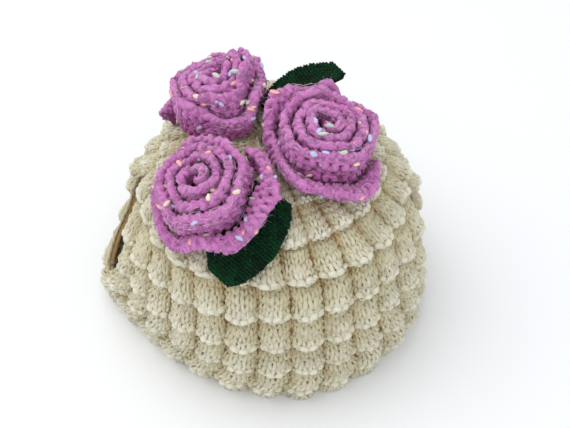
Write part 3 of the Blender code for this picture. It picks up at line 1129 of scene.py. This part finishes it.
def declare(node, slot, body, trims, **cloth):
    """Hides the CAD part that a piece of cloth stands for, and attaches the piece and its pieces of yarn
    to the root.
    """
    dress(body, node)
    for piece in trims:
        dress(piece)


def make_panel(name, side, rng, chance, paints, trees):
    """One panel: the felted wall behind, darker as painted shade between the stitches, and its courses of
    stitches in two pieces.
    """
    nets, bright = panel_nets(side, rng)
    surface, face, inside = [Surface(net, faces_out=-side) for net in nets]
    # The puff of the scales, which the yarn reads as painted shade in the grooves and painted highlight on
    # the puffs
    shine = Surface(np.dstack([bright - AXIS_X, bright, bright]))
    wall = two_sided(f"{name}_wall", face.net, inside.net, paints["wool_wall_painted_shade"])
    # The wall's shade is painted: lighter on the scales' puffs, darker in the grooves and on the inside
    crest, groove, lining = WALL_SHADE
    shades = np.concatenate([crest * bright.ravel() + groove, np.full(bright.size, lining)])
    store(wall.data, "shade", shades)

    lengths = ring_lengths()
    yarns = {"lower": Yarns(), "upper": Yarns()}
    row_starts = lengths[:: len(SCALE_RINGS)]
    for row in range(ROWS):
        start, end = row_starts[row], row_starts[row + 1]
        part = yarns["lower" if row < ROWS // 2 else "upper"]
        count = round((end - start) / COURSE_PITCH)
        for number in range(count):
            if row and number in HIDDEN_COURSES:
                continue
            at = start + (number + COURSE_START) * (end - start) / count
            ridge = number in RIDGE_COURSES if row else number == 0
            add_course(part, surface, shine, lengths, at, ridge, chance)
    for u_edge in (EDGE_COLUMN, surface.columns - 1 - EDGE_COLUMN):
        add_edge(yarns["lower"], surface, shine, u_edge, chance)
    pieces = [
        runs.grown(trees["yarn"], f"{name}_stitches_{part}", 5, paints["cream_wool"])
        for part, runs in yarns.items()
    ]
    return wall, pieces + [add_fuzz(piece, trees, paints["cream_fibre"], "panel") for piece in pieces]


def add_course(yarns, surface, shine, lengths, at, ridge, chance):
    """One course of a panel, knit side out, or a purl ridge."""
    at += chance.uniform(-COURSE_SHIFT, COURSE_SHIFT)
    made = course(
        surface,
        COURSE_END,
        STITCHES - COURSE_END,
        lambda stitch: stitch * NET_STITCH,
        lambda up: np.interp(at + up, lengths, np.arange(len(lengths))),
        chance,
        PURL if ridge else KNIT,
    )
    width = surface.stitch_width(made.u, made.v)
    thick = np.clip(YARN_SHARE * width, YARN_LEAST, YARN_MOST) * (1 + WOBBLE_THICK * made.wobble)
    # Painted shade and highlight: dark where the yarn sinks into a groove, light on a scale's puff, and
    # lighter still on a purl ridge
    shade = shine.at(made.u, made.v)[:, 1]
    if ridge:
        thick = thick * RIDGE_YARN * (1 + RIDGE_BUMP * made.bump)
        shade = shade + RIDGE_SHINE
    yarns.add(made.points, thick, shade, 0.5 + 0.5 * made.wobble)


def add_edge(yarns, surface, shine, u_edge, chance):
    """The selvedge: one yarn up the edge of a panel, over the ends of its courses."""
    v = np.arange(EDGE_STEP, surface.rows - 1, EDGE_STEP)
    knots = np.arange(0, surface.rows + 1)
    u = u_edge + EDGE_WANDER * np.interp(v, knots, chance.uniform(-1, 1, len(knots)))
    points = surface.at(u, v) + surface.out(u, v) * EDGE_LIFT
    share, most = EDGE_YARN
    thick = np.clip(share * surface.stitch_width(u, v), YARN_LEAST, most)
    # The selvedge takes the panel's painted shade and highlight, with a further painted highlight added
    yarns.add(points, thick, shine.at(u, v)[:, 1] + EDGE_SHINE, 0.5)


def add_fuzz(yarn, trees, material, kind):
    """Loose fibres on a piece of yarn, as a piece of their own."""
    look = dict(zip(("Density", "Length", "Width"), FUZZ[kind]))
    return grow(yarn, trees["fuzz"], f"{yarn.name}_fuzz", Material=material, **look)


def make_rose(rose, chance, paints, trees):
    """One rose: the strip's body, its crochet, the binder thread, the flecks and the loose fibres."""
    name = rose[0]
    place = rose_frame(rose)
    count = round((ROLL_TURNS + SKIRT_TURNS) * ROSE_RINGS)
    rings = [strip_ring(rose, place, step / ROSE_RINGS) for step in range(count + 1)]
    surface = Surface(crumpled(np.array(rings).transpose(1, 0, 2), place[0]))
    body = rose_body(name, surface, paints["rose_strip_painted_shade"])

    run = lengths_along((surface.net[2] + surface.net[3]) / 2)
    yarns, threads = Yarns(), Yarns()
    for height, first_turn in ROSE_COURSES:
        start = np.interp(first_turn * ROSE_RINGS, np.arange(len(run)), run) / ROSE_STITCH
        made = course(
            surface,
            start + ROSE_END,
            run[-1] / ROSE_STITCH - ROSE_END,
            lambda stitch: np.interp(stitch * ROSE_STITCH, run, np.arange(len(run))),
            lambda up: np.interp(height + up, ROSE_SECTION_RUN, np.arange(len(ROSE_SECTION_RUN))),
            chance,
            CROCHET,
        )
        # The crochet's painted shade and highlight: dark at the strip's foot, light over its crest
        shade = np.interp(made.v, range(len(ROSE_SHADE)), ROSE_SHADE)
        thick = ROSE_YARN * (1 + ROSE_THICK_WOBBLE * made.wobble)
        yarns.add(made.points, thick, shade, 0.5 + 0.5 * made.wobble)
        add_threads(threads, surface, made.u, made.v, shade, chance)
    crochet = yarns.grown(trees["yarn"], f"{name}_crochet", 6, paints["rose_tweed_yarn"])
    seed = int(chance.integers(99))
    flecks = grow(crochet, trees["flecks"], f"{name}_flecks", Seed=seed, Material=paints["flecks"])
    binder = threads.grown(trees["yarn"], f"{name}_binder", 3, paints["thread"])
    return body, [crochet, binder, flecks, add_fuzz(crochet, trees, paints["rose_fibre"], "rose")]


def rose_body(name, surface, material):
    """The strip itself, rounded, with its foot and its two ends closed."""
    sections = np.linspace(0, surface.rows - 1, ROSE_BODY_RINGS)
    u, v = np.meshgrid(np.arange(surface.columns, dtype=float), sections)
    points = surface.at(u, v) - surface.out(u, v) * ROSE_BODY_SINK
    mesh = bmesh.new()
    verts = add_grid(mesh, points)
    for a, b, c, d in zip(verts[-1], verts[-1][1:], verts[0][1:], verts[0]):
        mesh.faces.new((a, b, c, d))
    for place in (0, -1):
        mesh.faces.new([row[place] for row in verts])
    body = finished(mesh, f"{name}_body", material)
    # The strip under the crochet is painted shade between the strands, darkest at its foot
    shade = np.interp(sections, range(len(ROSE_BODY_SHADE)), ROSE_BODY_SHADE)
    store(body.data, "shade", np.repeat(shade, surface.columns))
    return body


def crumpled(net, seat):
    """The strip's net, pushed about as soft crochet is; its foot stays where it rests."""
    for row, share in zip(net, ROSE_SOFTNESS):
        for point in row:
            spot = Vector(point) / CRUMPLE_SIZE + seat * CRUMPLE_SHIFT
            push = [noise.noise(spot + Vector(place)) for place in CRUMPLE_PLACES]
            point += share * CRUMPLE * np.array(push)
    return net


def add_threads(threads, surface, u, v, shade, chance):
    """Thin threads that wander over a course of crochet, each for a few stitches."""
    start = 0
    while start < len(u) - THREAD_RUN[0]:
        length = int(chance.integers(*THREAD_RUN))
        part = slice(start, start + length)
        start += length + int(chance.integers(*THREAD_PAUSE))
        count = len(u[part])
        knots = np.arange(0, count + THREAD_KNOT, THREAD_KNOT)
        steps = np.arange(count)
        drift = [np.interp(steps, knots, chance.uniform(-1, 1, len(knots))) for _ in range(3)]
        u_thread = u[part] + THREAD_DRIFT[0] * drift[1]
        v_thread = np.clip(v[part] + THREAD_DRIFT[1] * drift[0], 0, surface.rows - 1)
        lift = THREAD_LIFT[0] + THREAD_LIFT[1] * drift[2]
        points = surface.at(u_thread, v_thread) + surface.out(u_thread, v_thread) * lift[:, None]
        threads.add(points, THREAD, shade[part], 0.5)


def make_leaf(leaf, chance, paints, trees):
    """One leaf: a thin sheet, its ribs of knitting across and the loose fibres."""
    name, (rows, columns) = leaf[0], LEAF_NET
    places = [i / (rows - 1) for i in range(rows)]
    across = [2 * j / (columns - 1) - 1 for j in range(columns)]
    top, under = [
        Surface([[leaf_point(leaf, along, aside, height) for aside in across] for along in places])
        for height in (LEAF_THICK, 0.0)
    ]
    if top.out(np.array([columns / 2]), np.array([rows / 2]))[0, 2] < 0:
        top.faces_out = -1
    u, v = np.meshgrid(np.arange(columns, dtype=float), np.arange(rows, dtype=float))
    face = top.at(u, v) - top.out(u, v) * LEAF_BODY_SINK
    body = two_sided(f"{name}_body", face, under.at(u, v), paints["leaf_sheet_painted_shade"])
    # The sheet under the ribs is painted shade between them
    store(body.data, "shade", np.full(len(body.data.vertices), LEAF_BODY_SHADE))
    run = lengths_along(top.net[:, columns // 2])
    widths = [leaf_half_width(leaf, along) for along in places]
    yarns = Yarns()
    ribs = int(run[-1] / LEAF_RIB)
    for rib in range(ribs + 1):
        at = (rib + LEAF_RIB_START) * run[-1] / (ribs + 2 * LEAF_RIB_START)
        stitches = max(3, round(2 * np.interp(at, run, widths) / LEAF_STITCH))
        made = course(
            top,
            0.0,
            stitches,
            lambda stitch: stitch / stitches * (columns - 1),
            lambda up: np.interp(at + up, run, np.arange(rows)),
            chance,
            LEAF_KNIT,
        )
        thick = LEAF_YARN * (1 + LEAF_THICK_WOBBLE * made.wobble)
        yarns.add(made.points, thick, LEAF_SHADE[0] + LEAF_SHADE[1] * made.wobble, 0.5 + 0.5 * made.wobble)
    knit = yarns.grown(trees["yarn"], f"{name}_ribs", 5, paints["leaf_yarn"])
    return body, [knit, add_fuzz(knit, trees, paints["leaf_fibre"], "leaf")]


# Table, light and camera


def make_table():
    paint = Paint("pale_table", 0.75)
    patches = paint.noise(paint.places(), 3.0)
    material = paint.finish(paint.mix(patches, (0.86, 0.87, 0.89), (0.88, 0.89, 0.90)))
    mesh = bmesh.new()
    bmesh.ops.create_grid(mesh, x_segments=2, y_segments=2, size=TABLE_REACH)
    table = finished(mesh, "table", material)
    table.data.transform(Matrix.Translation((0, 0, -TABLE_DROP)))


def make_light():
    for name, place, size, power, colour in LAMPS:
        data = bpy.data.lights.new(name, "AREA")
        data.size = size
        data.energy = power
        data.color = colour
        lamp = add_object(name, data)
        lamp.location = place
        lamp.rotation_euler = (LAMP_AIM - Vector(place)).to_track_quat("-Z", "Y").to_euler()
    world = bpy.data.worlds.new("studio")
    world.use_nodes = True
    background = world.node_tree.nodes["Background"].inputs
    background["Color"].default_value = SKY
    background["Strength"].default_value = SKY_STRENGTH
    bpy.context.scene.world = world
    bpy.context.scene.view_settings.view_transform = "Standard"


def make_camera():
    data = bpy.data.cameras.new("camera")
    data.sensor_width = SENSOR
    data.lens = FOCAL * SENSOR
    camera = add_object("camera", data)
    tilt = math.radians(ELEVATION)
    away = Vector((0, -math.cos(tilt), math.sin(tilt)))
    right, up = Vector((1, 0, 0)), Vector((0, math.sin(tilt), math.cos(tilt)))
    roll = math.radians(ROLL)
    across = right * math.cos(roll) + up * math.sin(roll)
    upward = up * math.cos(roll) - right * math.sin(roll)
    place = LOOK_AT + away * DISTANCE
    rows = [(across[i], upward[i], away[i], place[i]) for i in range(3)]
    camera.matrix_world = Matrix([*rows, (0, 0, 0, 1)])
    bpy.context.scene.camera = camera


def main():
    paints = {name: yarn_paint(name, *look) for name, look in YARN_COLOURS.items()}
    for name, colour in LOOSE_COLOURS.items():
        paints[name] = Paint(name, 0.9).finish(colour)
    paints["thread"], paints["flecks"] = binder_thread(), fleck_fibre()
    trees = {"yarn": yarn_tree(), "flecks": fleck_tree(), "fuzz": fuzz_tree()}
    rng = random.Random(SEED)
    chance = np.random.default_rng(SEED)
    for name, side in (("panel_front", -1), ("panel_back", 1)):
        wall, trims = make_panel(name, side, rng, chance, paints, trees)
        cloth = {"flat": PANEL_FLAT[:2], "area": PANEL_FLAT[2], "held": "gathered"}
        declare(name, "cream_wool", wall, trims, rests_on=["table"], **cloth)
    for rose in ROSES:
        name = rose[0]
        body, trims = make_rose(rose, chance, paints, trees)
        cloth = {"flat": ROSE_FLAT[name], "held": "folded", "rests_on": SEAT[name]}
        declare(name, "rose_tweed_yarn", body, trims, **cloth)
    for leaf in LEAVES:
        name = leaf[0]
        body, trims = make_leaf(leaf, chance, paints, trees)
        flat, area = LEAF_FLAT[name][:2], LEAF_FLAT[name][2]
        declare(name, "leaf_yarn", body, trims, flat=flat, area=area, held="laid", rests_on=SEAT[name])
    make_table()
    make_light()
    make_camera()


main()
